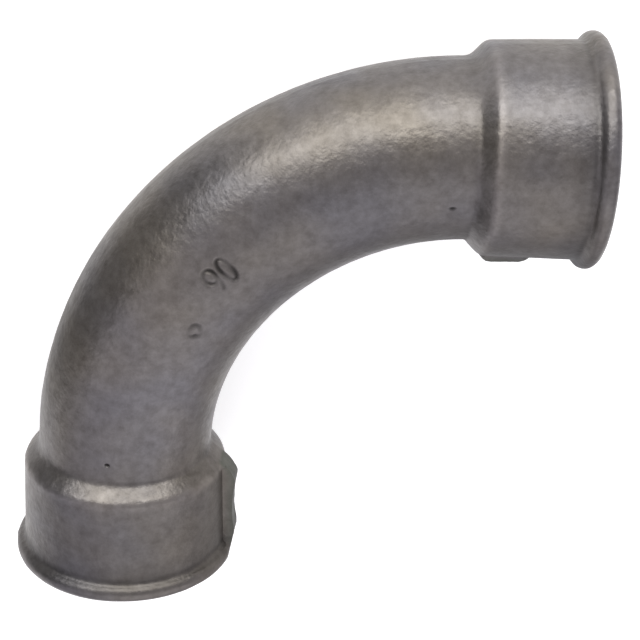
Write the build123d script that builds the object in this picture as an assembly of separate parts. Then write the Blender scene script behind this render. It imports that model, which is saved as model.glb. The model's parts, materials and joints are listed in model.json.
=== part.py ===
from build123d import *
import math
import os

# Long sweep pipe bend, 90 degrees, one black malleable-iron casting.
# Each end is a beaded socket tapped for a 1 1/4 pipe thread.
# Sizes are in millimetres. The casting lies at rest on its two beads and its elbow.

# Run of the bend
centre_to_face = 105.0      # mouth face to the crossing of the two socket axes
bend_start = 2.6            # the arc begins this far past the socket's outer corner

# Pipe thread, bored to its crests: the flanks are cut outwards from here
thread_major = 41.910
thread_pitch = 2.309
thread_depth = 0.640327 * thread_pitch
tapped_length = 22.6        # from the mouth face to the end of the tap's run-out
mouth_clearance = 0.5       # the 45 degree chamfer opens this far outside the major radius

# Plain tube between the sockets
tube_bore = 33.4
tube_wall = 3.6

# Socket body, which tapers from its bead to its shoulder as a moulded form does
socket_wall = 2.95          # outside the thread's major radius, at the shoulder
socket_draft = 0.5          # the socket's radius grows by this towards its mouth
socket_past_tap = 2.8       # the throat's length, and how far the outer corner lies behind the tap
shoulder_angle = 45.0       # slope from the socket down to the tube
shoulder_round = 2.8
shoulder_root = 2.4

# Bead round the mouth
bead_height = 2.05          # above the socket beside it
bead_round = 2.1            # radius of the bead's own section
bead_crest = 2.0            # from the mouth face to the crest
bead_slope = 45.0           # the bead runs down to the socket at this angle

# Broken-off gate on the inner side of the lower socket, cast in the upper half of the mould
gate_width = 6.0            # from the parting plane up
gate_start = 4.4            # from the mouth face
gate_past_corner = 3.8      # its far top corner stops this far short of the socket's corner
gate_proud = 0.45           # above the bead's crest, at its two high ends
gate_dish = 0.7             # its broken face dips by this in the middle
gate_round = 0.9

# Small riser witness on the inner side of the other socket
riser_width = 6.5
riser_length = 9.5
riser_start = 12.6          # from the mouth face
riser_proud = 1.0
riser_round = 0.8

overlap = 2.0               # how far joined forms run into each other

# Worked out from the sizes above
thread_minor_radius = thread_major / 2 - thread_depth
mouth_radius = thread_major / 2 + mouth_clearance
bore_radius = tube_bore / 2
tube_radius = bore_radius + tube_wall
socket_length = tapped_length + socket_past_tap
socket_radius = thread_major / 2 + socket_wall
socket_mouth_radius = socket_radius + socket_draft
bead_radius = socket_mouth_radius + bead_height
bead_ring_radius = bead_radius - bead_round
straight_length = socket_length + bend_start
bend_radius = centre_to_face - straight_length


def slope_run(drop, angle):
    """Length along the axis that a slope needs for this change of radius."""
    return drop / math.tan(math.radians(angle))


# Socket section: X is the radius and Y the distance from the mouth face
def socket_section():
    face_radius = bead_ring_radius + math.sqrt(bead_round**2 - bead_crest**2)
    slope = math.radians(bead_slope)
    shoulder = (bead_ring_radius + bead_round * math.cos(slope), bead_crest + bead_round * math.sin(slope))
    root = (socket_mouth_radius, shoulder[1] + slope_run(shoulder[0] - socket_mouth_radius, bead_slope))
    corner = (socket_radius, socket_length)
    inner_radius = tube_radius - overlap
    foot = (inner_radius, socket_length + slope_run(socket_radius - inner_radius, shoulder_angle))
    outline = (
        Polyline((0, foot[1]), (0, 0), (face_radius, 0))
        + ThreePointArc((face_radius, 0), (bead_radius, bead_crest), shoulder)
        + Polyline(shoulder, root, corner, foot, (0, foot[1]))
    )
    section = make_face(outline)
    return fillet(section.vertices().sort_by_distance(corner)[0], shoulder_round)


# Tapped bore: mouth chamfer, thread crests, then a throat down to the tube's bore
def bore_section():
    chamfer = mouth_radius - thread_minor_radius
    return make_face(
        Polyline(
            (0, -overlap),
            (mouth_radius + overlap, -overlap),
            (thread_minor_radius, chamfer),
            (thread_minor_radius, tapped_length),
            (bore_radius, socket_length),
            (0, socket_length),
            (0, -overlap),
        )
    )


# A round bar along the whole centreline, from this distance behind one mouth to the other
def round_run(radius, inset):
    reach = straight_length - inset
    arc_start = Plane(origin=(0, -bend_radius, 0), z_dir=(0, 1, 0))
    arc_end = Plane(origin=(bend_radius, 0, 0), z_dir=(1, 0, 0))
    turn_axis = Axis((bend_radius, -bend_radius, 0), (0, 0, -1))
    elbow = revolve(arc_start * Circle(radius), axis=turn_axis, revolution_arc=90)
    lower_leg = extrude(arc_start * Circle(radius), -reach)
    other_leg = extrude(arc_end * Circle(radius), reach)
    return elbow + lower_leg + other_leg


# The mouths: local Y runs from the face into the socket, and local X points to the inner side
lower_mouth = Location(Plane(origin=(0, -centre_to_face, 0), x_dir=(1, 0, 0), z_dir=(0, 0, 1)))
other_mouth = Location(Plane(origin=(centre_to_face, 0, 0), x_dir=(0, -1, 0), z_dir=(0, 0, -1)))
mouths = [lower_mouth, other_mouth]


# Gate stub: a raised pad with a dished, broken face and a slope down to the shoulder
def gate_stub():
    top = bead_radius + gate_proud
    far_top = socket_length - gate_past_corner
    near_top = gate_start + slope_run(top - bead_radius, shoulder_angle) + gate_round
    middle = ((near_top + far_top) / 2, top - gate_dish)
    far_foot = far_top + slope_run(top - socket_radius + overlap, shoulder_angle)
    base = socket_radius - overlap
    outline = (
        Polyline((base, far_foot), (base, gate_start), (top - gate_round, gate_start), (top, near_top))
        + ThreePointArc((top, near_top), (middle[1], middle[0]), (top, far_top))
        + Line((top, far_top), (base, far_foot))
    )
    stub = extrude(make_face(outline), gate_width)
    long_edges = stub.edges().filter_by(Plane.XY).group_by(Axis.X)[-1]
    return fillet(long_edges, gate_round)


# Riser witness: a low pad, nearly flush with the socket
def riser_witness():
    centre = riser_start + riser_length / 2
    top = socket_radius + riser_proud
    base = socket_radius - overlap
    pad = Pos((top + base) / 2, centre, 0) * Box(top - base, riser_length, riser_width)
    return fillet(pad.faces().sort_by(Axis.X)[-1].edges(), riser_round)


# How far the bend leans back when both beads and the back of the elbow touch the ground.
# The low point of a tilted ring of radius q and section p is its centre's height
# less q * sqrt(1 - t**2) less p, where t is the height that its axis gains per unit.
def resting_tilt():
    crest_reach = (centre_to_face - bead_crest) / math.sqrt(2)
    slope = crest_reach - bend_radius * (math.sqrt(2) - 1)
    rise = tube_radius - bead_round
    a = slope**2 + bead_ring_radius**2 / 2
    b = 2 * slope * rise
    c = rise**2 - bead_ring_radius**2
    return math.degrees(math.asin((-b + math.sqrt(b**2 - 4 * a * c)) / (2 * a)))


def pipe_bend():
    tube = round_run(tube_radius, socket_length)
    sockets = [mouth * revolve(socket_section(), axis=Axis.Y) for mouth in mouths]
    body = tube + sockets
    roots = new_edges(tube, *sockets, combined=body)
    body = fillet(roots, shoulder_root)
    body += lower_mouth * gate_stub()
    body += other_mouth * riser_witness()
    body -= round_run(bore_radius, tapped_length)
    for mouth in mouths:
        body -= mouth * revolve(bore_section(), axis=Axis.Y)
    return body


# Lay the bend down, then set the origin at the middle of its box on the ground
casting = pipe_bend().rotate(Axis((0, 0, 0), (1, 1, 0)), -resting_tilt())
box = casting.bounding_box()
casting = Pos(-box.center().X, -box.center().Y, -box.min.Z) * casting

os.makedirs("parts", exist_ok=True)
export_step(casting, "parts/pipe_bend.step")
print("tilt", resting_tilt(), "volume", casting.volume, "solids", len(casting.solids()))
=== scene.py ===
import json
import math

import bmesh
import bpy
import numpy as np
from mathutils import Matrix, Vector


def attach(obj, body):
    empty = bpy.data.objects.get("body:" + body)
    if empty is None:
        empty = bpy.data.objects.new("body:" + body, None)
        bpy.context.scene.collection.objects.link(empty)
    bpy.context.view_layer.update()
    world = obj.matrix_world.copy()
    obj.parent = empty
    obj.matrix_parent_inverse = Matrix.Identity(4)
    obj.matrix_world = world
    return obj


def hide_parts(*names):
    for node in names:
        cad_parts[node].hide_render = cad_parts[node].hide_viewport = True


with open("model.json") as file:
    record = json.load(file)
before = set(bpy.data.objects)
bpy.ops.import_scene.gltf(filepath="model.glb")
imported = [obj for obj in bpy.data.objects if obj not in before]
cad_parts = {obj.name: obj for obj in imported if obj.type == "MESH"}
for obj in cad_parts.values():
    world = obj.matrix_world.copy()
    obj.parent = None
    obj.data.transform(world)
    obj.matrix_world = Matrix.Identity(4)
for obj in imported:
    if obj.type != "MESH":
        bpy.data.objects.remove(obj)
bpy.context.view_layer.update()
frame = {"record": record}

MM = 0.001

# Run of the bend, as in the solid
CENTRE_TO_FACE = 105.0 * MM
BEND_RADIUS = 77.0 * MM
STRAIGHT = CENTRE_TO_FACE - BEND_RADIUS
RUN = 2 * STRAIGHT + BEND_RADIUS * math.pi / 2
TUBE_RADIUS = 20.3 * MM
BORE_RADIUS = 16.7 * MM

# Socket and bead, by distance from the mouth face and by radius
SOCKET_LENGTH = 25.4 * MM
SOCKET_RADIUS = 23.905 * MM
SOCKET_MOUTH_RADIUS = 24.405 * MM
SHOULDER_ANGLE = math.radians(45)
SHOULDER_ROUND = 2.8 * MM
SHOULDER_ROOT = 2.4 * MM
BEAD_RADIUS = 26.455 * MM
BEAD_ROUND = 2.1 * MM
BEAD_CREST = 2.0 * MM
BEAD_ROOT = 1.6 * MM
EDGE_BREAK = 0.15 * MM
EDGE_DROP = 0.6                  # the bead's sharp edge at the face drops by this share of the break

# Thread, 11 to the inch, cut outwards from the bored crests
THREAD_PITCH = 25.4 / 11 * MM
THREAD_DEPTH = 0.640327 * THREAD_PITCH
THREAD_MAJOR_RADIUS = 20.955 * MM
THREAD_MINOR_RADIUS = THREAD_MAJOR_RADIUS - THREAD_DEPTH
MOUTH_CLEARANCE = 0.5 * MM
MOUTH_RADIUS = THREAD_MAJOR_RADIUS + MOUTH_CLEARANCE
FULL_THREAD = 19.4 * MM
TAPPED_LENGTH = 22.6 * MM
CAST_FROM = TAPPED_LENGTH + 0.1 * MM    # deeper than this the bore is as cast

# Both broken-off feeders stand in the upper half of the mould, from the parting plane up.
# Each face in mm: (distance from the mouth, height above the socket's axis at the parting plane)
GATE_WIDTH = 6.0 * MM
GATE_FACE = [
    (3.0, 26.2), (4.5, 26.6), (6.0, 26.85), (7.5, 26.8), (9.0, 26.6), (11.9, 26.25), (14.9, 26.2),
    (17.8, 26.5), (20.8, 26.85), (21.9, 26.75), (23.7, 25.6), (25.2, 24.4), (26.4, 23.3),
]
GATE_FALL = 0.1                  # its face falls by this share of the height over the parting plane
RISER_WIDTH = 6.5 * MM
RISER_FACE = [
    (13.4, 23.6), (14.4, 24.4), (16.0, 24.75), (19.5, 24.7), (22.6, 24.8), (23.8, 24.6), (24.8, 23.6),
]

# The bead beside the gate is fettled flat. The flat has a height at the mouth, rises by a share of
# the distance from it, and falls by a share of the height over the parting plane.
FLAT_HEIGHT = 25.7 * MM
FLAT_RISE = 0.186
FLAT_FALL = 0.12
FLAT_LENGTH = 9.0 * MM
NO_FLAT = 1.0                    # a height that nothing reaches

# How much painted light and shade brighten or darken the skin: (share, distance from the mouth, spread along
# the run).
# A painted highlight along the shoulder's outer corner, and painted shade in the bead's root and the
# shoulder's root.
PAINTED_SHADING_BANDS = [
    (-0.24, 5.1 * MM, 0.7 * MM), (-0.2, 6.4 * MM, 3.0 * MM), (0.3, 25.1 * MM, 1.0 * MM),
    (-0.14, 29.4 * MM, 0.8 * MM),
]
# On the lower socket's half of the run, painted shade darkens the bead and the socket, and painted light
# brightens the bend past them
LOWER_SOCKET_PAINTED_SHADING = [
    (-0.2, 3.7 * MM, 0.9 * MM), (-0.12, 14.0 * MM, 8.0 * MM), (0.18, 56.0 * MM, 24.0 * MM),
]
BANDLESS_LENGTH = 2.4 * MM           # no band reaches this near to the mouth face

# How finely the skin is drawn
COLUMNS = 200
FINE_STEP = 0.7 * MM
FACE_STEP = 1.2 * MM
TUBE_STEP = 0.95 * MM
BORE_STEP = 3.0 * MM
THREAD_STEP = THREAD_PITCH / 8
ARC_STEP = math.radians(12)

# Kinds of node that are used often
MATH = "ShaderNodeMath"
VECTOR_MATH = "ShaderNodeVectorMath"
NOISE = "ShaderNodeTexNoise"
MAP_RANGE = "ShaderNodeMapRange"
MIX = "ShaderNodeMix"
RAMP = "ShaderNodeValToRGB"
COMBINE = "ShaderNodeCombineXYZ"


def node(tree, kind, inputs=(), **settings):
    """Adds a node with its settings, and gives its inputs values or links, by name or in order."""
    made = tree.nodes.new(kind)
    for name, value in settings.items():
        setattr(made, name, value)
    for key, value in inputs.items() if isinstance(inputs, dict) else enumerate(inputs):
        if isinstance(value, bpy.types.Node):
            value = value.outputs[0]
        if isinstance(value, bpy.types.NodeSocket):
            tree.links.new(value, made.inputs[key])
        else:
            made.inputs[key].default_value = value
    return made


def linear(hex_colour):
    """An sRGB hex colour as the linear colour that a shader takes."""
    channels = [int(hex_colour[start : start + 2], 16) / 255 for start in (1, 3, 5)]
    return [
        channel / 12.92 if channel <= 0.04045 else ((channel + 0.055) / 1.055) ** 2.4
        for channel in channels
    ] + [1.0]


def empty_tree(owner):
    """The node tree of a new material or world, with nothing in it."""
    owner.use_nodes = True
    owner.node_tree.nodes.clear()
    return owner.node_tree


def new_object(name, data):
    """A new object in the scene, at the origin."""
    made = bpy.data.objects.new(name, data)
    bpy.context.scene.collection.objects.link(made)
    return made


# The section outline: each point is (distance from the mouth, radius)

def arc(centre, radius, start, end):
    """Points on an arc; angles run from the outward radius towards the inside of the pipe."""
    count = max(2, math.ceil(abs(end - start) / ARC_STEP) + 1)
    return [
        (centre[0] + radius * math.sin(angle), centre[1] + radius * math.cos(angle))
        for angle in np.linspace(start, end, count)
    ]


def filled(points, step):
    """The same outline with no two points further apart than a step."""
    result = [points[0]]
    for (d0, r0), (d1, r1) in zip(points, points[1:]):
        count = max(1, math.ceil(math.hypot(d1 - d0, r1 - r0) / step - 0.01))
        result += [(d0 + (d1 - d0) * i / count, r0 + (r1 - r0) * i / count) for i in range(1, count + 1)]
    return result


def bead_outline():
    """The bead from the mouth face to the socket, with the round in its root."""
    ring = BEAD_RADIUS - BEAD_ROUND
    rise = SOCKET_MOUTH_RADIUS + BEAD_ROOT - ring
    reach = math.sqrt((BEAD_ROUND + BEAD_ROOT) ** 2 - rise**2)
    touch = math.atan2(reach, rise)
    bead = arc((BEAD_CREST, ring), BEAD_ROUND, -math.asin(BEAD_CREST / BEAD_ROUND), touch)
    bead[0] = (bead[0][0] + EDGE_BREAK, bead[0][1] + EDGE_BREAK * EDGE_DROP)
    root_centre = (BEAD_CREST + reach, SOCKET_MOUTH_RADIUS + BEAD_ROOT)
    return bead + arc(root_centre, BEAD_ROOT, touch - math.pi, -math.pi)[1:]


def outside():
    """From the mouth face over the bead, the socket and its shoulder to the middle of the tube."""
    bead = bead_outline()
    lead = SHOULDER_ROUND * math.tan(SHOULDER_ANGLE / 2)
    crown_centre = (SOCKET_LENGTH - lead, SOCKET_RADIUS - SHOULDER_ROUND)
    crown = arc(crown_centre, SHOULDER_ROUND, 0, SHOULDER_ANGLE)
    foot = SOCKET_LENGTH + (SOCKET_RADIUS - TUBE_RADIUS) / math.tan(SHOULDER_ANGLE)
    lead = SHOULDER_ROOT * math.tan(SHOULDER_ANGLE / 2)
    blend_centre = (foot + lead, TUBE_RADIUS + SHOULDER_ROOT)
    blend = arc(blend_centre, SHOULDER_ROOT, SHOULDER_ANGLE - math.pi, -math.pi)
    socket = filled([bead[-1], crown[0]], FINE_STEP)
    slope = filled([crown[-1], blend[0]], FINE_STEP)
    tube = filled([blend[-1], (RUN / 2, TUBE_RADIUS)], TUBE_STEP)
    return bead + socket[1:] + crown[1:] + slope[1:] + blend[1:] + tube[1:]


def inside():
    """From the mouth's chamfer through the thread and the throat to the middle of the bore."""
    thread_end = (TAPPED_LENGTH, THREAD_MINOR_RADIUS)
    thread = filled([(EDGE_BREAK, THREAD_MINOR_RADIUS), thread_end], THREAD_STEP)
    throat = filled([thread_end, (SOCKET_LENGTH, BORE_RADIUS)], FINE_STEP)
    bore = filled([(SOCKET_LENGTH, BORE_RADIUS), (RUN / 2, BORE_RADIUS)], BORE_STEP)
    return thread + throat[1:] + bore[1:]


def face():
    """The machined mouth face, from its outer edge to the chamfer."""
    outer = outside()[0][1] - EDGE_BREAK
    return filled([(0.0, outer), (0.0, MOUTH_RADIUS + EDGE_BREAK)], FACE_STEP)


# What is done to a row, by its distance from the mouth

def thread_left(distance):
    """The share of the thread's full depth that is cut here, less along the tap's run-out."""
    return min(1.0, max(0.0, (TAPPED_LENGTH - distance) / (TAPPED_LENGTH - FULL_THREAD)))


def chamfer_at(distance):
    return max(0.0, MOUTH_RADIUS - distance)


def is_cast(distance):
    return 1.0 if distance > CAST_FROM else 0.0


def flat_at(distance):
    return FLAT_HEIGHT + FLAT_RISE * distance if distance < FLAT_LENGTH else NO_FLAT


def painted_shading_by(bands):
    """How much the bands of painted light and shade together brighten or darken a row."""
    def worn(distance):
        if distance <= BANDLESS_LENGTH:
            return 0.0
        return sum(
            share * math.exp(-(((distance - middle) / spread) ** 2)) for share, middle, spread in bands
        )

    return worn


def height_on(pad):
    """The height of a pad's face at a distance from the mouth, and 0 beyond its ends."""
    distances, heights = np.array(pad).T * MM
    return lambda distance: float(np.interp(distance, distances, heights, left=0.0, right=0.0))


# A row's values where nothing is done to it
PLAIN_ROW = {
    "cast": 1.0, "cut": 0.0, "least": 0.0, "pad": 0.0, "pad_width": 0.0, "pad_fall": 0.0,
    "flat": NO_FLAT, "worn": 0.0,
}


def section_rows():
    """Every row of the skin, once round the section: its run, its radius and what is done to it."""
    rows = []

    def add(points, from_other_mouth, **marks):
        for distance, radius in reversed(points) if from_other_mouth else points:
            row = {"run": RUN - distance if from_other_mouth else distance, "rim": radius, **PLAIN_ROW}
            for name, value in marks.items():
                row[name] = value(distance) if callable(value) else value
            rows.append(row)

    bored = {"cut": thread_left, "least": chamfer_at, "cast": is_cast}
    gate = {"pad": height_on(GATE_FACE), "pad_width": GATE_WIDTH, "pad_fall": GATE_FALL, "flat": flat_at}
    riser = {"pad": height_on(RISER_FACE), "pad_width": RISER_WIDTH}
    add(outside(), False, worn=painted_shading_by(PAINTED_SHADING_BANDS + LOWER_SOCKET_PAINTED_SHADING), **gate)
    add(outside()[:-1], True, worn=painted_shading_by(PAINTED_SHADING_BANDS), **riser)
    add(face()[::-1], True, cast=0.0)
    add(inside()[::-1], True, **bored)
    add(inside()[:-1][::-1], False, **bored)
    add(face()[::-1], False, cast=0.0)
    return rows


def section_object():
    """The section as one closed loop of edges, with what each row needs as attributes."""
    rows = section_rows()
    mesh = bpy.data.meshes.new("section")
    edges = [(i, (i + 1) % len(rows)) for i in range(len(rows))]
    mesh.from_pydata([(row["rim"], 0, row["run"]) for row in rows], edges, [])
    for name in rows[0]:
        values = mesh.attributes.new(name, "FLOAT", "POINT")
        values.data.foreach_set("value", [row[name] for row in rows])
    return new_object("section", mesh)


# The casting's skin, swept by Geometry Nodes

SKIN_SIZES = {
    "Straight length": STRAIGHT,
    "Bend radius": BEND_RADIUS,
    "Outside from radius": TUBE_RADIUS - 0.5 * MM,
    "Columns": COLUMNS,
    "Thread pitch": THREAD_PITCH,
    "Thread depth": THREAD_DEPTH,
    "Pad edge": 0.1 * MM,
    "Flat fall": FLAT_FALL,
    "Parting ridge height": 0.16 * MM,
    "Parting ridge half width": 0.9 * MM,
    "Parting ridge patch": 9.0 * MM,
    "Swell size": 26.0 * MM,
    "Swell height": 0.22 * MM,
    "Lump size": 5.0 * MM,
    "Lump height": 0.12 * MM,
    "Grain size": 1.7 * MM,
    "Grain height": 0.09 * MM,
    "Torn grain size": 3.2 * MM,
    "Torn grain height": 0.55 * MM,
    "Sharp angle": math.radians(48),
    "Seed": 4.0,
}
PAD_SIDE = -0.5                  # pads lie where the turn's cosine is below this
LEAST_LEAN = 0.01                # keeps a pad's height from being divided by nothing
STEEPEST_LEAN = 0.5              # the flat is not followed further round the section than this

# What the tree reads at each point: the rows' values, and two that it stores on the way
POINT_VALUES = [
    "run", "rim", "cast", "cut", "least", "pad", "pad_width", "pad_fall", "flat", "turn", "torn",
]


def centreline(tree, given, run):
    """Where the bend's centreline is at each row's run, and which way is outwards there."""
    past_start = node(tree, MATH, [run, given["Straight length"]], operation="SUBTRACT")
    swing = node(tree, MATH, [past_start, given["Bend radius"]], operation="DIVIDE")
    swing = node(tree, MATH, [swing, 0.0], operation="MAXIMUM")
    swing = node(tree, MATH, [swing, math.pi / 2], operation="MINIMUM")
    along = node(tree, MATH, [swing], operation="SINE")
    across = node(tree, MATH, [swing], operation="COSINE")
    on_arc = node(tree, MATH, [swing, given["Bend radius"]], operation="MULTIPLY")
    straight_on = node(tree, MATH, [past_start, on_arc], operation="SUBTRACT")
    ahead = node(tree, COMBINE, {"X": along, "Y": across})
    minus_across = node(tree, MATH, [across, -1.0], operation="MULTIPLY")
    outwards = node(tree, COMBINE, {"X": minus_across, "Y": along})
    minus_radius = node(tree, MATH, [given["Bend radius"], -1.0], operation="MULTIPLY")
    bend_centre = node(tree, COMBINE, {"X": given["Bend radius"], "Y": minus_radius})
    to_arc = node(tree, VECTOR_MATH, {0: outwards, "Scale": given["Bend radius"]}, operation="SCALE")
    past_arc = node(tree, VECTOR_MATH, {0: ahead, "Scale": straight_on}, operation="SCALE")
    centre = node(tree, VECTOR_MATH, [bend_centre, to_arc], operation="ADD")
    return node(tree, VECTOR_MATH, [centre, past_arc], operation="ADD"), outwards


def bored_radius(tree, given, row):
    """The section's own radius, the thread cut outwards from it, and never less than the chamfer."""
    turns = node(tree, MATH, [row["run"], given["Thread pitch"]], operation="DIVIDE")
    turned = node(tree, MATH, [turns, math.tau], operation="MULTIPLY")
    helix = node(tree, MATH, [turned, row["turn"]], operation="SUBTRACT")
    wave = node(tree, MATH, [helix], operation="COSINE")
    wave = node(tree, MATH, [wave, 0.5, 0.5], operation="MULTIPLY_ADD")
    depth = node(tree, MATH, [wave, given["Thread depth"]], operation="MULTIPLY")
    radius = node(tree, MATH, [depth, row["cut"], row["rim"]], operation="MULTIPLY_ADD")
    return node(tree, MATH, [radius, row["least"]], operation="MAXIMUM")


def padded_radius(tree, given, row, radius, cosine, sine):
    """Raises the pads on the inner side: (radius, 1 on a pad).

    A pad is flat across, so its radius grows away from the parting plane.
    """
    inner_side = node(tree, MATH, [cosine, -1.0], operation="MULTIPLY")
    inner_side = node(tree, MATH, [inner_side, LEAST_LEAN], operation="MAXIMUM")
    leaning = node(tree, MATH, [sine, row["pad_fall"], inner_side], operation="MULTIPLY_ADD")
    pad_radius = node(tree, MATH, [row["pad"], leaning], operation="DIVIDE")
    over_parting = node(tree, MATH, [sine, pad_radius], operation="MULTIPLY")
    top = node(tree, MATH, [row["pad_width"], given["Pad edge"]], operation="ADD")
    bottom = node(tree, MATH, [given["Pad edge"], -1.0], operation="MULTIPLY")
    on_pad = node(tree, MATH, [over_parting, top], operation="LESS_THAN")
    for above, below in ((over_parting, bottom), (pad_radius, radius), (PAD_SIDE, cosine)):
        is_above = node(tree, MATH, [above, below], operation="GREATER_THAN")
        on_pad = node(tree, MATH, [on_pad, is_above], operation="MULTIPLY")
    rise = node(tree, MATH, [pad_radius, radius], operation="SUBTRACT")
    radius = node(tree, MATH, [on_pad, rise, radius], operation="MULTIPLY_ADD")

    # The fettled flat takes off what stands above it
    leaning = node(tree, MATH, [sine, given["Flat fall"], inner_side], operation="MULTIPLY_ADD")
    leaning = node(tree, MATH, [leaning, STEEPEST_LEAN], operation="MAXIMUM")
    flat_radius = node(tree, MATH, [row["flat"], leaning], operation="DIVIDE")
    return node(tree, MATH, [radius, flat_radius], operation="MINIMUM"), on_pad


def ridged_radius(tree, given, row, radius, sine):
    """Adds the parting ridge along the outer and inner sides, ground down in places."""
    from_parting = node(tree, MATH, [sine], operation="ABSOLUTE")
    from_parting = node(tree, MATH, [from_parting, radius], operation="MULTIPLY")
    from_parting = node(tree, MATH, [from_parting, given["Parting ridge half width"]], operation="DIVIDE")
    ridge = node(tree, MATH, [1.0, from_parting], operation="SUBTRACT")
    ridge = node(tree, MATH, [ridge, 0.0], operation="MAXIMUM")
    is_outside = node(tree, MATH, [radius, given["Outside from radius"]], operation="GREATER_THAN")
    place = node(tree, MATH, [row["run"], given["Parting ridge patch"]], operation="DIVIDE")
    left = node(tree, NOISE, {"W": place, "Scale": 1.0}, noise_dimensions="1D")
    for share in (given["Parting ridge height"], left, is_outside, row["cast"]):
        ridge = node(tree, MATH, [ridge, share], operation="MULTIPLY")
    return node(tree, MATH, [radius, ridge], operation="ADD")


def roughened(tree, given, row, skin):
    """Pushes the skin in and out: sand-cast unevenness at three sizes, and the pads' torn faces."""
    position = node(tree, "GeometryNodeInputPosition")
    push = 0.0
    for kind, where in (("Swell", "cast"), ("Lump", "cast"), ("Grain", "cast"), ("Torn grain", "torn")):
        scale = node(tree, MATH, [1.0, given[kind + " size"]], operation="DIVIDE")
        noise = node(tree, NOISE, {"Vector": position, "W": given["Seed"], "Scale": scale, "Detail": 2.0},
                     noise_dimensions="4D")
        centred = node(tree, MATH, [noise, 0.5], operation="SUBTRACT")
        height = node(tree, MATH, [given[kind + " height"], row[where]], operation="MULTIPLY")
        push = node(tree, MATH, [centred, height, push], operation="MULTIPLY_ADD")
    normal = node(tree, "GeometryNodeInputNormal").outputs[0]
    offset = node(tree, VECTOR_MATH, {0: normal, "Scale": push}, operation="SCALE")
    return node(tree, "GeometryNodeSetPosition", {"Geometry": skin, "Offset": offset})


def skin_tree(cast_material, cut_material):
    """Sweeps the section round the bend, cuts the thread, raises the pads and roughens what is as cast."""
    tree = bpy.data.node_groups.new("casting_skin", "GeometryNodeTree")
    tree.interface.new_socket("Geometry", in_out="INPUT", socket_type="NodeSocketGeometry")
    for name, value in SKIN_SIZES.items():
        kind = "NodeSocketInt" if isinstance(value, int) else "NodeSocketFloat"
        tree.interface.new_socket(name, in_out="INPUT", socket_type=kind)
    tree.interface.new_socket("Geometry", in_out="OUTPUT", socket_type="NodeSocketGeometry")
    given = node(tree, "NodeGroupInput").outputs
    row = {
        name: node(tree, "GeometryNodeInputNamedAttribute", {"Name": name}, data_type="FLOAT")
        for name in POINT_VALUES
    }

    # One turn of columns round the pipe, and the section carried along it
    ring = node(tree, "GeometryNodeCurvePrimitiveCircle", {"Resolution": given["Columns"], "Radius": 1.0})
    index = node(tree, "GeometryNodeInputIndex")
    part_of_turn = node(tree, MATH, [index, given["Columns"]], operation="DIVIDE")
    turn = node(tree, MATH, [part_of_turn, math.tau], operation="MULTIPLY")
    turned = node(tree, "GeometryNodeStoreNamedAttribute",
                  {"Geometry": ring, "Name": "turn", "Value": turn}, data_type="FLOAT", domain="POINT")
    loop = node(tree, "GeometryNodeMeshToCurve", {"Mesh": given["Geometry"]})
    sheet = node(tree, "GeometryNodeCurveToMesh", {"Curve": turned, "Profile Curve": loop})

    # Each point's place, from its radius and its turn round the centreline
    cosine = node(tree, MATH, [row["turn"]], operation="COSINE")
    sine = node(tree, MATH, [row["turn"]], operation="SINE")
    centre, outwards = centreline(tree, given, row["run"])
    radius = bored_radius(tree, given, row)
    radius, on_pad = padded_radius(tree, given, row, radius, cosine, sine)
    radius = ridged_radius(tree, given, row, radius, sine)
    sideways = node(tree, VECTOR_MATH, {0: outwards, "Scale": cosine}, operation="SCALE")
    upwards = node(tree, COMBINE, {"Z": sine})
    around = node(tree, VECTOR_MATH, [sideways, upwards], operation="ADD")
    reach = node(tree, VECTOR_MATH, {0: around, "Scale": radius}, operation="SCALE")
    place = node(tree, VECTOR_MATH, [centre, reach], operation="ADD")
    shaped = node(tree, "GeometryNodeSetPosition", {"Geometry": sheet, "Position": place})
    torn = node(tree, "GeometryNodeStoreNamedAttribute",
                {"Geometry": shaped, "Name": "torn", "Value": on_pad}, data_type="FLOAT", domain="POINT")

    # Smooth but for the sharp edges, and machined where it isn't as cast
    rough = roughened(tree, given, row, torn)
    smooth = node(tree, "GeometryNodeSetShadeSmooth", {"Geometry": rough})
    edge_angle = node(tree, "GeometryNodeInputMeshEdgeAngle")
    steep = node(tree, MATH, [edge_angle, given["Sharp angle"]], operation="GREATER_THAN")
    crisp = node(tree, "GeometryNodeSetShadeSmooth",
                 {"Geometry": smooth, "Selection": steep, "Shade Smooth": False}, domain="EDGE")
    real = node(tree, "GeometryNodeRealizeInstances", {"Geometry": crisp})
    dressed = node(tree, "GeometryNodeSetMaterial", {"Geometry": real, "Material": cast_material})
    is_cut = node(tree, MATH, [row["cast"], 0.5], operation="LESS_THAN")
    finished = node(tree, "GeometryNodeSetMaterial",
                    {"Geometry": dressed, "Selection": is_cut, "Material": cut_material})
    node(tree, "NodeGroupOutput", {"Geometry": finished})
    return tree


def sweep_skin(materials):
    """The casting's skin as a plain mesh, in the bend's own frame."""
    section = section_object()
    modifier = section.modifiers.new("skin", "NODES")
    tree = skin_tree(*materials)
    modifier.node_group = tree
    for item in tree.interface.items_tree:
        if item.in_out == "INPUT" and item.name in SKIN_SIZES:
            modifier[item.identifier] = SKIN_SIZES[item.name]
    evaluated = section.evaluated_get(bpy.context.evaluated_depsgraph_get())
    mesh = bpy.data.meshes.new_from_object(evaluated)
    bpy.data.objects.remove(section)
    return mesh


# Marks on the bend: worked in a flattened patch, u along the run and v towards the bend's outer side

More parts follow.
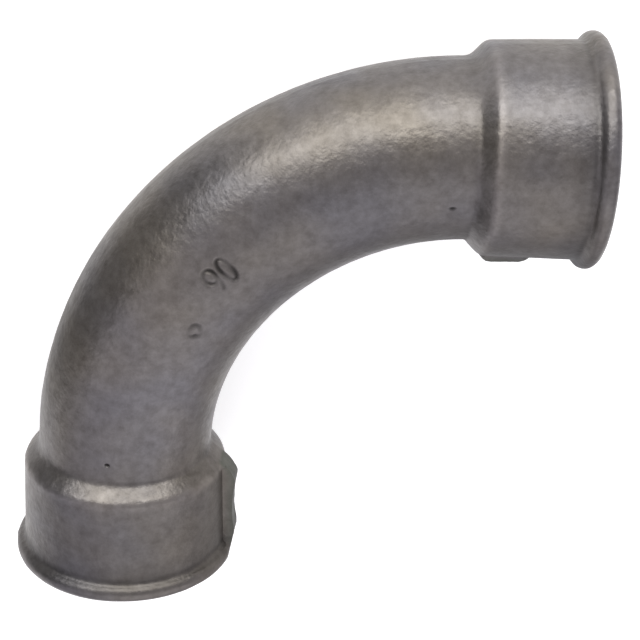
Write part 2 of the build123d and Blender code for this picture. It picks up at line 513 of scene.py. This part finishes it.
# Each mark: (its turn along the arc, its place round the tube from the top towards the outer side, its reach)
NUMBER_AT = (math.radians(44.4), math.radians(0.7), 5.6 * MM)
DIMPLE_AT = (math.radians(33.5), math.radians(-13.0), 3.6 * MM)
PIT_AT = (math.radians(4.15), math.radians(9.5), 1.6 * MM)
SMALL_PIT_AT = (math.radians(85.2), math.radians(-19.0), 1.7 * MM)
FIGURE_HEIGHT = 6.0 * MM
FIGURE_WIDTH = 2.5 * MM
FIGURE_GAP = 1.3 * MM
STROKE_HALF_WIDTH = 0.78 * MM
STROKE_DEPTH = 0.65 * MM
DIMPLE_RING = 1.45 * MM
DIMPLE_HALF_WIDTH = 1.15 * MM
DIMPLE_DEPTH = 0.34 * MM
PIT_REACH = 0.75 * MM
PIT_DEPTH = 0.7 * MM
SMALL_PIT_DEPTH = 0.42 * MM
SKIN_BAND = 1 * MM               # the skin lies within this of the tube's radius
CUTS = 3                         # each edge near a mark is cut this many times
OVAL_POINTS = 25


def round_tube(points):
    """Each point's turn along the arc, its offset to the outer side of the arc, and its height."""
    x, y = BEND_RADIUS - points[:, 0], points[:, 1] + BEND_RADIUS
    return np.arctan2(y, x), np.hypot(x, y) - BEND_RADIUS, points[:, 2]


def patch_places(points, mark):
    """(u, v) of points in the bend's own frame, measured along the surface from a mark."""
    swing, offset, height = round_tube(points)
    return (swing - mark[0]) * BEND_RADIUS, (np.arctan2(offset, height) - mark[1]) * TUBE_RADIUS


def distance_to_line(u, v, line):
    """Distance of each point from a line through a few places."""
    nearest = np.full(len(u), np.inf)
    for (u0, v0), (u1, v1) in zip(line, line[1:]):
        du, dv = u1 - u0, v1 - v0
        along = np.clip(((u - u0) * du + (v - v0) * dv) / (du * du + dv * dv), 0, 1)
        nearest = np.minimum(nearest, np.hypot(u - u0 - along * du, v - v0 - along * dv))
    return nearest


def oval(centre, half_width, half_height, start=0.0, end=math.tau):
    """Places along an oval or a part of one."""
    return [
        (centre[0] + half_width * math.cos(angle), centre[1] + half_height * math.sin(angle))
        for angle in np.linspace(start, end, OVAL_POINTS)
    ]


def number_strokes():
    """A plain 90, the angle that the bend turns through."""
    half_width, half_height = FIGURE_WIDTH / 2, FIGURE_HEIGHT / 2
    shift = (FIGURE_WIDTH + FIGURE_GAP) / 2
    loop_height = 0.29 * FIGURE_HEIGHT
    loop = (-shift, half_height - loop_height)
    tail_centre = (-shift, loop[1] - 0.02 * FIGURE_HEIGHT)
    tail = oval(tail_centre, half_width, 0.69 * FIGURE_HEIGHT, 0.0, -0.42 * math.pi)
    return [oval(loop, half_width, loop_height), tail, oval((shift, 0), half_width, half_height)]


def bowl(distance, reach):
    """1 at the middle, falling smoothly to 0 at the reach."""
    share = np.clip(1 - distance / reach, 0, 1)
    return share * share * (3 - 2 * share)


def number_depth(u, v):
    """V-shaped strokes, struck deeper in some places than in others."""
    distance = np.min([distance_to_line(u, v, line) for line in number_strokes()], axis=0)
    uneven = np.sin(u / (0.9 * MM) + 1.5 * np.sin(v / (1.3 * MM)))
    struck = 0.62 + 0.25 * v / FIGURE_HEIGHT + 0.25 * uneven
    return STROKE_DEPTH * np.clip(struck, 0.2, 1) * np.clip(1 - distance / STROKE_HALF_WIDTH, 0, 1)


def dimple_depth(u, v):
    """An uneven ring, the trace of a round punch."""
    around = np.arctan2(v, u)
    ring = DIMPLE_RING * (1 + 0.2 * np.sin(around + 0.6) + 0.1 * np.sin(3 * around))
    struck = 0.7 + 0.3 * np.sin(around * 2 + 0.5)
    return DIMPLE_DEPTH * struck * bowl(np.abs(np.hypot(u, v) - ring), DIMPLE_HALF_WIDTH)


def pit_depth(u, v):
    return PIT_DEPTH * bowl(np.hypot(u * 1.2, v * 0.8), PIT_REACH)


def small_pit_depth(u, v):
    return SMALL_PIT_DEPTH * bowl(np.hypot(u * 0.6, v), PIT_REACH)


def vertex_places(work):
    work.verts.ensure_lookup_table()
    return np.array([vert.co for vert in work.verts])


def divide_skin(work, mark):
    """Divides the skin's edges that lie within a mark's reach."""
    points = vertex_places(work)
    u, v = patch_places(points, mark)
    _, offset, height = round_tube(points)
    on_skin = np.abs(np.hypot(offset, height) - TUBE_RADIUS) < SKIN_BAND
    near = on_skin & (np.hypot(u, v) < mark[2])
    edges = [edge for edge in work.edges if all(near[vert.index] for vert in edge.verts)]
    bmesh.ops.subdivide_edges(work, edges=edges, cuts=CUTS, use_grid_fill=True)


def sink_mark(work, mark, depth_at, sunk):
    """Moves the skin inwards by the mark's depth, and keeps that depth as a share of a stroke's."""
    points = vertex_places(work)
    u, v = patch_places(points, mark)
    touched = np.flatnonzero((np.hypot(u, v) < mark[2]) & (points[:, 2] > 0))
    depths = depth_at(u[touched], v[touched])
    swing, offset, height = round_tube(points[touched])
    outwards = np.column_stack([-offset * np.cos(swing), offset * np.sin(swing), height])
    outwards /= np.linalg.norm(outwards, axis=1)[:, None]
    for index, direction, depth in zip(touched, outwards, depths):
        work.verts[index].co -= Vector(direction * depth)
        work.verts[index][sunk] = depth / STROKE_DEPTH


MARKS = [
    (NUMBER_AT, number_depth), (DIMPLE_AT, dimple_depth), (PIT_AT, pit_depth),
    (SMALL_PIT_AT, small_pit_depth),
]


def sink_marks(mesh):
    work = bmesh.new()
    work.from_mesh(mesh)
    sunk = work.verts.layers.float.new("sunk")
    for mark, depth_at in MARKS:
        divide_skin(work, mark)
        sink_mark(work, mark, depth_at, sunk)
    bmesh.ops.recalc_face_normals(work, faces=work.faces)
    work.to_mesh(mesh)
    work.free()


def bend_frame():
    """The bend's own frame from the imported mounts: X out of the other socket, -Y out of the lower one."""
    mounts = {mount["name"]: mount for mount in frame["record"]["mounts"]}
    other, lower = mounts["other_socket"], mounts["lower_socket"]
    x_axis, y_axis = Vector(other["axis"]).normalized(), -Vector(lower["axis"]).normalized()
    z_axis = x_axis.cross(y_axis).normalized()
    y_axis = z_axis.cross(x_axis)
    middle_of_tap = (MOUTH_RADIUS - THREAD_MINOR_RADIUS + TAPPED_LENGTH) / 2
    crossing = Vector(other["pos_m"]) - x_axis * (CENTRE_TO_FACE - middle_of_tap)
    turned = Matrix((x_axis, y_axis, z_axis)).transposed().to_4x4()
    return Matrix.Translation(crossing) @ turned


# Materials

def new_material(name):
    """A material with a bare shader: (material, tree, shader)."""
    material = bpy.data.materials.new(name)
    tree = empty_tree(material)
    shader = node(tree, "ShaderNodeBsdfPrincipled")
    node(tree, "ShaderNodeOutputMaterial", {"Surface": shader})
    return material, tree, shader


def set_stops(ramp, *stops):
    """Gives a colour ramp its two stops, each a position and an sRGB hex colour."""
    for element, (position, colour) in zip(ramp.color_ramp.elements, stops):
        element.position = position
        element.color = linear(colour)


# Black malleable iron, sand cast, annealed and shot-blasted: a dark grey with a low metallic sheen,
# warm in some patches and violet-grey in others, over a fine even grain. The shot's own dints are
# finer than the render shows, so the peening and the grit are drawn coarser than they are.
# Each pattern: (size, detail, roughness, seed)
BLASTED_PATTERNS = {
    "patches": (30 * MM, 2.0, 0.55, 0.0),
    "speckle": (2.4 * MM, 4.0, 0.65, 3.0),
    "dullness": (3.0 * MM, 3.0, 0.6, 7.0),
    "peening": (1.2 * MM, 2.0, 0.5, 5.0),
    "grit": (0.5 * MM, 2.0, 0.6, 9.0),
}
PEENING_HEIGHT = 0.17 * MM
GRIT_HEIGHT = 0.02 * MM
BUMP_STRENGTH = 0.8
METALLIC = 0.85
TORN_METALLIC = 0.25
LEAST_ROUGHNESS = 0.35
MOST_ROUGHNESS = 0.45
SUNK_ADDS_ROUGHNESS = 0.4
TORN_ADDS_ROUGHNESS = 0.2


def blasted_iron():
    material, tree, shader = new_material("blasted_black_iron")
    place = node(tree, "ShaderNodeTexCoord").outputs["Object"]
    noise = {}
    for name, (size, detail, roughness, seed) in BLASTED_PATTERNS.items():
        noise[name] = node(tree, NOISE, {"Vector": place, "W": seed, "Scale": 1 / size, "Detail": detail,
                                         "Roughness": roughness}, noise_dimensions="4D")
    worn, torn, sunk = (
        node(tree, "ShaderNodeAttribute", attribute_name=name).outputs["Fac"]
        for name in ("worn", "torn", "sunk")
    )

    # Colour: torn faces darker and greener, painted light and shade in bands along the run, and sunk marks
    # darker at their deepest
    patches = node(tree, RAMP, {"Fac": noise["patches"]})
    set_stops(patches, (0.35, "#676568"), (0.62, "#6f6a65"))
    broken = node(tree, MIX, {"Factor": torn, 6: patches, 7: linear("#55564f")}, data_type="RGBA")
    speckle = node(tree, RAMP, {"Fac": noise["speckle"]})
    set_stops(speckle, (0.3, "#d2d0ce"), (0.7, "#ffffff"))
    speckled = node(tree, MIX, {"Factor": 1.0, 6: broken.outputs[2], 7: speckle},
                    data_type="RGBA", blend_type="MULTIPLY")
    # Painted light and shade: the bands brighten or darken the colour along the run
    shade = node(tree, MATH, [worn, 1.0], operation="ADD")
    shaded = node(tree, VECTOR_MATH, {0: speckled.outputs[2], "Scale": shade}, operation="SCALE")
    # The sunk marks are darker towards their deepest part
    scale = node(tree, MAP_RANGE, {"Value": sunk, "From Min": 0.1, "From Max": 0.7, "To Max": 0.85})
    scaled = node(tree, MIX, {"Factor": scale, 6: shaded, 7: linear("#2c2a29")}, data_type="RGBA")
    tree.links.new(scaled.outputs[2], shader.inputs["Base Color"])

    # Sheen: torn faces and the sunk marks are dull
    metallic = node(tree, MATH, [torn, TORN_METALLIC - METALLIC, METALLIC], operation="MULTIPLY_ADD")
    dull = node(tree, MAP_RANGE, {"Value": noise["dullness"], "From Min": 0.3, "From Max": 0.7,
                                  "To Min": LEAST_ROUGHNESS, "To Max": MOST_ROUGHNESS})
    dull = node(tree, MATH, [scale, SUNK_ADDS_ROUGHNESS, dull], operation="MULTIPLY_ADD")
    dull = node(tree, MATH, [torn, TORN_ADDS_ROUGHNESS, dull], operation="MULTIPLY_ADD")
    peened = node(tree, "ShaderNodeBump", {"Height": noise["peening"], "Distance": PEENING_HEIGHT,
                                           "Strength": BUMP_STRENGTH})
    gritty = node(tree, "ShaderNodeBump", {"Height": noise["grit"], "Distance": GRIT_HEIGHT,
                                           "Strength": BUMP_STRENGTH, "Normal": peened})
    tree.links.new(metallic.outputs[0], shader.inputs["Metallic"])
    tree.links.new(dull.outputs[0], shader.inputs["Roughness"])
    tree.links.new(gritty.outputs[0], shader.inputs["Normal"])
    return material


# Malleable iron fresh from the tap and the facing cutter: bright grey, with fine rings left by the tool
SHADE_SIZE = 4 * MM
RING_PITCH = 0.35 * MM
RING_HEIGHT = 0.01 * MM


def cut_iron():
    material, tree, shader = new_material("machined_iron")
    place = node(tree, "ShaderNodeTexCoord").outputs["Object"]
    uneven = node(tree, NOISE, {"Vector": place, "W": 2.0, "Scale": 1 / SHADE_SIZE, "Detail": 3.0,
                                "Roughness": 0.6}, noise_dimensions="4D")
    shade = node(tree, RAMP, {"Fac": uneven})
    set_stops(shade, (0.3, "#8a8784"), (0.7, "#a29f9b"))
    rim = node(tree, "ShaderNodeAttribute", attribute_name="rim").outputs["Fac"]
    rings = node(tree, MATH, [rim, math.tau / RING_PITCH], operation="MULTIPLY")
    height = node(tree, MATH, [rings], operation="SINE")
    bump = node(tree, "ShaderNodeBump", {"Height": height, "Distance": RING_HEIGHT, "Strength": 0.5})
    tree.links.new(shade.outputs[0], shader.inputs["Base Color"])
    tree.links.new(bump.outputs[0], shader.inputs["Normal"])
    shader.inputs["Metallic"].default_value = 1.0
    shader.inputs["Roughness"].default_value = 0.38
    return material


def make_casting():
    mesh = sweep_skin((blasted_iron(), cut_iron()))
    sink_marks(mesh)
    mesh.transform(bend_frame())
    return new_object("casting_skin", mesh)


# Setting: pale floor, soft light, and the photograph's viewing angle

CAMERA_AT = Vector((-55.6, 208.56, 352.37)) * MM
CAMERA_LOOK = Vector((0.15292, -0.53578, -0.83040))
PICTURE_UP = Vector((0.03638, 0.84276, -0.53706))
CAMERA_LENS = 95.6
CAMERA_SENSOR = 36.0


def make_camera():
    data = bpy.data.cameras.new("camera")
    data.lens = CAMERA_LENS
    data.sensor_width = CAMERA_SENSOR
    data.clip_end = 10.0
    camera = new_object("camera", data)
    back = -CAMERA_LOOK.normalized()
    right = PICTURE_UP.cross(back).normalized()
    up = back.cross(right)
    turned = Matrix((right, up, back)).transposed().to_4x4()
    camera.matrix_world = Matrix.Translation(CAMERA_AT) @ turned
    bpy.context.scene.camera = camera


# Lamps in metres and watts: (name, place, width, height, power, colour)
LAMPS = [
    ("window", (-0.11, 0.86, 0.37), 1.7, 0.58, 14.3, "#fbfbf4"),
    ("front_fill", (0.22, -0.50, 0.75), 1.2, 1.2, 3.2, "#ffffff"),
]
LAMP_AIM = Vector((0, 0, 0.03))

ROOM_COLOUR = "#fbf8ff"
ROOM_LIGHT = 0.81
ROOM_TOP = 0.56
ROOM_TOP_FROM = 0.75             # the room darkens overhead from this height of a unit direction

# Sides where there is less or more light: (towards it, cosine at its rim, cosine where it is full)
DARK_SIDE = ((-0.96, 0.28, 0.0), 0.82, 0.95)
BRIGHT_SIDE = ((-0.60, -0.22, 0.77), 0.72, 0.96)
# The next two sides carry painted shade on the floor, towards the dark side and in front of the other
# socket's foot
DARK_FLOOR = ((-0.96, 0.28, 0.0), 0.68, 0.92)
FRONT_SIDE = ((0.17, -0.985, 0.0), 0.88, 0.97)
DARK_SIDE_LIGHT = 0.12
BRIGHT_SIDE_LIGHT = 1.4

# Smooth white card, matt, with no grain or edge for the eye to find. The camera sees it white all
# over. Painted shade on the card, hidden from the camera, makes what it sends to the metal less past a
# reach on the dark side and in front of the other socket's foot.
FLOOR_HALF_SIZE = 3.0
FLOOR_COLOUR = "#e9e9e9"
FLOOR_GLOW = 0.45
DARK_FLOOR_LIGHT = 0.14
DARK_FLOOR_FROM = 52 * MM
DARK_FLOOR_TO = 92 * MM
FRONT_FLOOR_LIGHT = 0.4
SOCKET_FOOT = (50 * MM, 40 * MM, 0.0)


def make_lamp(name, place, width, height, power, colour):
    data = bpy.data.lights.new(name, "AREA")
    data.shape = "RECTANGLE"
    data.color = linear(colour)[:3]
    data.size = width
    data.size_y = height
    data.energy = power
    lamp = new_object(name, data)
    lamp.location = place
    lamp.rotation_euler = (LAMP_AIM - Vector(place)).to_track_quat("-Z", "Y").to_euler()


def light_from(tree, direction, side, share):
    """1 from most of the room, changing to a share of that towards one side of it."""
    towards, rim, full = side
    ahead = node(tree, VECTOR_MATH, [direction], operation="NORMALIZE")
    along = node(tree, VECTOR_MATH, [ahead, towards], operation="DOT_PRODUCT").outputs["Value"]
    return node(tree, MAP_RANGE, {"Value": along, "From Min": rim, "From Max": full, "To Min": 1.0,
                                  "To Max": share}, interpolation_type="SMOOTHSTEP")


def floor_material():
    material = bpy.data.materials.new("white_card_with_painted_shade")
    tree = empty_tree(material)
    place = node(tree, "ShaderNodeTexCoord").outputs["Object"]
    reach = node(tree, VECTOR_MATH, [place], operation="LENGTH").outputs["Value"]
    # Painted shade, for all but camera rays: darker past a reach on the dark side and in front of the other
    # socket's foot
    dark = light_from(tree, place, DARK_FLOOR, DARK_FLOOR_LIGHT)
    left = node(tree, MAP_RANGE, {"Value": reach, "From Min": DARK_FLOOR_FROM, "From Max": DARK_FLOOR_TO,
                                  "To Min": 1.0, "To Max": dark})
    from_foot = node(tree, VECTOR_MATH, [place, SOCKET_FOOT], operation="SUBTRACT")
    front = light_from(tree, from_foot, FRONT_SIDE, FRONT_FLOOR_LIGHT)
    painted_floor_shade = node(tree, MATH, [left, front], operation="MULTIPLY")
    path = node(tree, "ShaderNodeLightPath").outputs
    lit = node(tree, MATH, [painted_floor_shade, path["Is Camera Ray"]], operation="MAXIMUM")
    paper = node(tree, VECTOR_MATH, {0: linear(FLOOR_COLOUR)[:3], "Scale": lit}, operation="SCALE")
    matt = node(tree, "ShaderNodeBsdfDiffuse", {"Color": paper})

    # The glow is seen by the camera, off gloss and through glass, and lights nothing else
    seen = node(tree, MATH, [path["Is Camera Ray"], path["Is Glossy Ray"]], operation="MAXIMUM")
    seen = node(tree, MATH, [seen, path["Is Transmission Ray"]], operation="MAXIMUM")
    lift = node(tree, MATH, [seen, FLOOR_GLOW], operation="MULTIPLY")
    lift = node(tree, MATH, [lift, lit], operation="MULTIPLY")
    glow = node(tree, "ShaderNodeEmission", {"Color": (1, 1, 1, 1), "Strength": lift})
    both = node(tree, "ShaderNodeAddShader", [matt, glow])
    node(tree, "ShaderNodeOutputMaterial", {"Surface": both})
    return material


def make_floor():
    mesh = bpy.data.meshes.new("floor")
    half = FLOOR_HALF_SIZE
    corners = [(-half, -half, 0), (half, -half, 0), (half, half, 0), (-half, half, 0)]
    mesh.from_pydata(corners, [], [(0, 1, 2, 3)])
    mesh.materials.append(floor_material())
    new_object("floor", mesh)


def make_world():
    """A plain studio: an even pale room, dark at one side, brighter above that and darker overhead."""
    world = bpy.data.worlds.new("studio")
    tree = empty_tree(world)
    direction = node(tree, "ShaderNodeTexCoord").outputs["Generated"]
    height = node(tree, "ShaderNodeSeparateXYZ", [direction]).outputs["Z"]
    strength = node(tree, MAP_RANGE, {"Value": height, "From Min": ROOM_TOP_FROM, "From Max": 1.0,
                                      "To Min": ROOM_LIGHT, "To Max": ROOM_TOP})
    for side, share in ((DARK_SIDE, DARK_SIDE_LIGHT), (BRIGHT_SIDE, BRIGHT_SIDE_LIGHT)):
        from_side = light_from(tree, direction, side, share)
        strength = node(tree, MATH, [strength, from_side], operation="MULTIPLY")
    background = node(tree, "ShaderNodeBackground", {"Color": linear(ROOM_COLOUR), "Strength": strength})
    node(tree, "ShaderNodeOutputWorld", {"Surface": background})
    bpy.context.scene.world = world


make_camera()
make_floor()
make_world()
for lamp in LAMPS:
    make_lamp(*lamp)
bpy.context.scene.view_settings.view_transform = "Standard"

casting = make_casting()
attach(casting, "root")
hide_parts("pipe_bend")
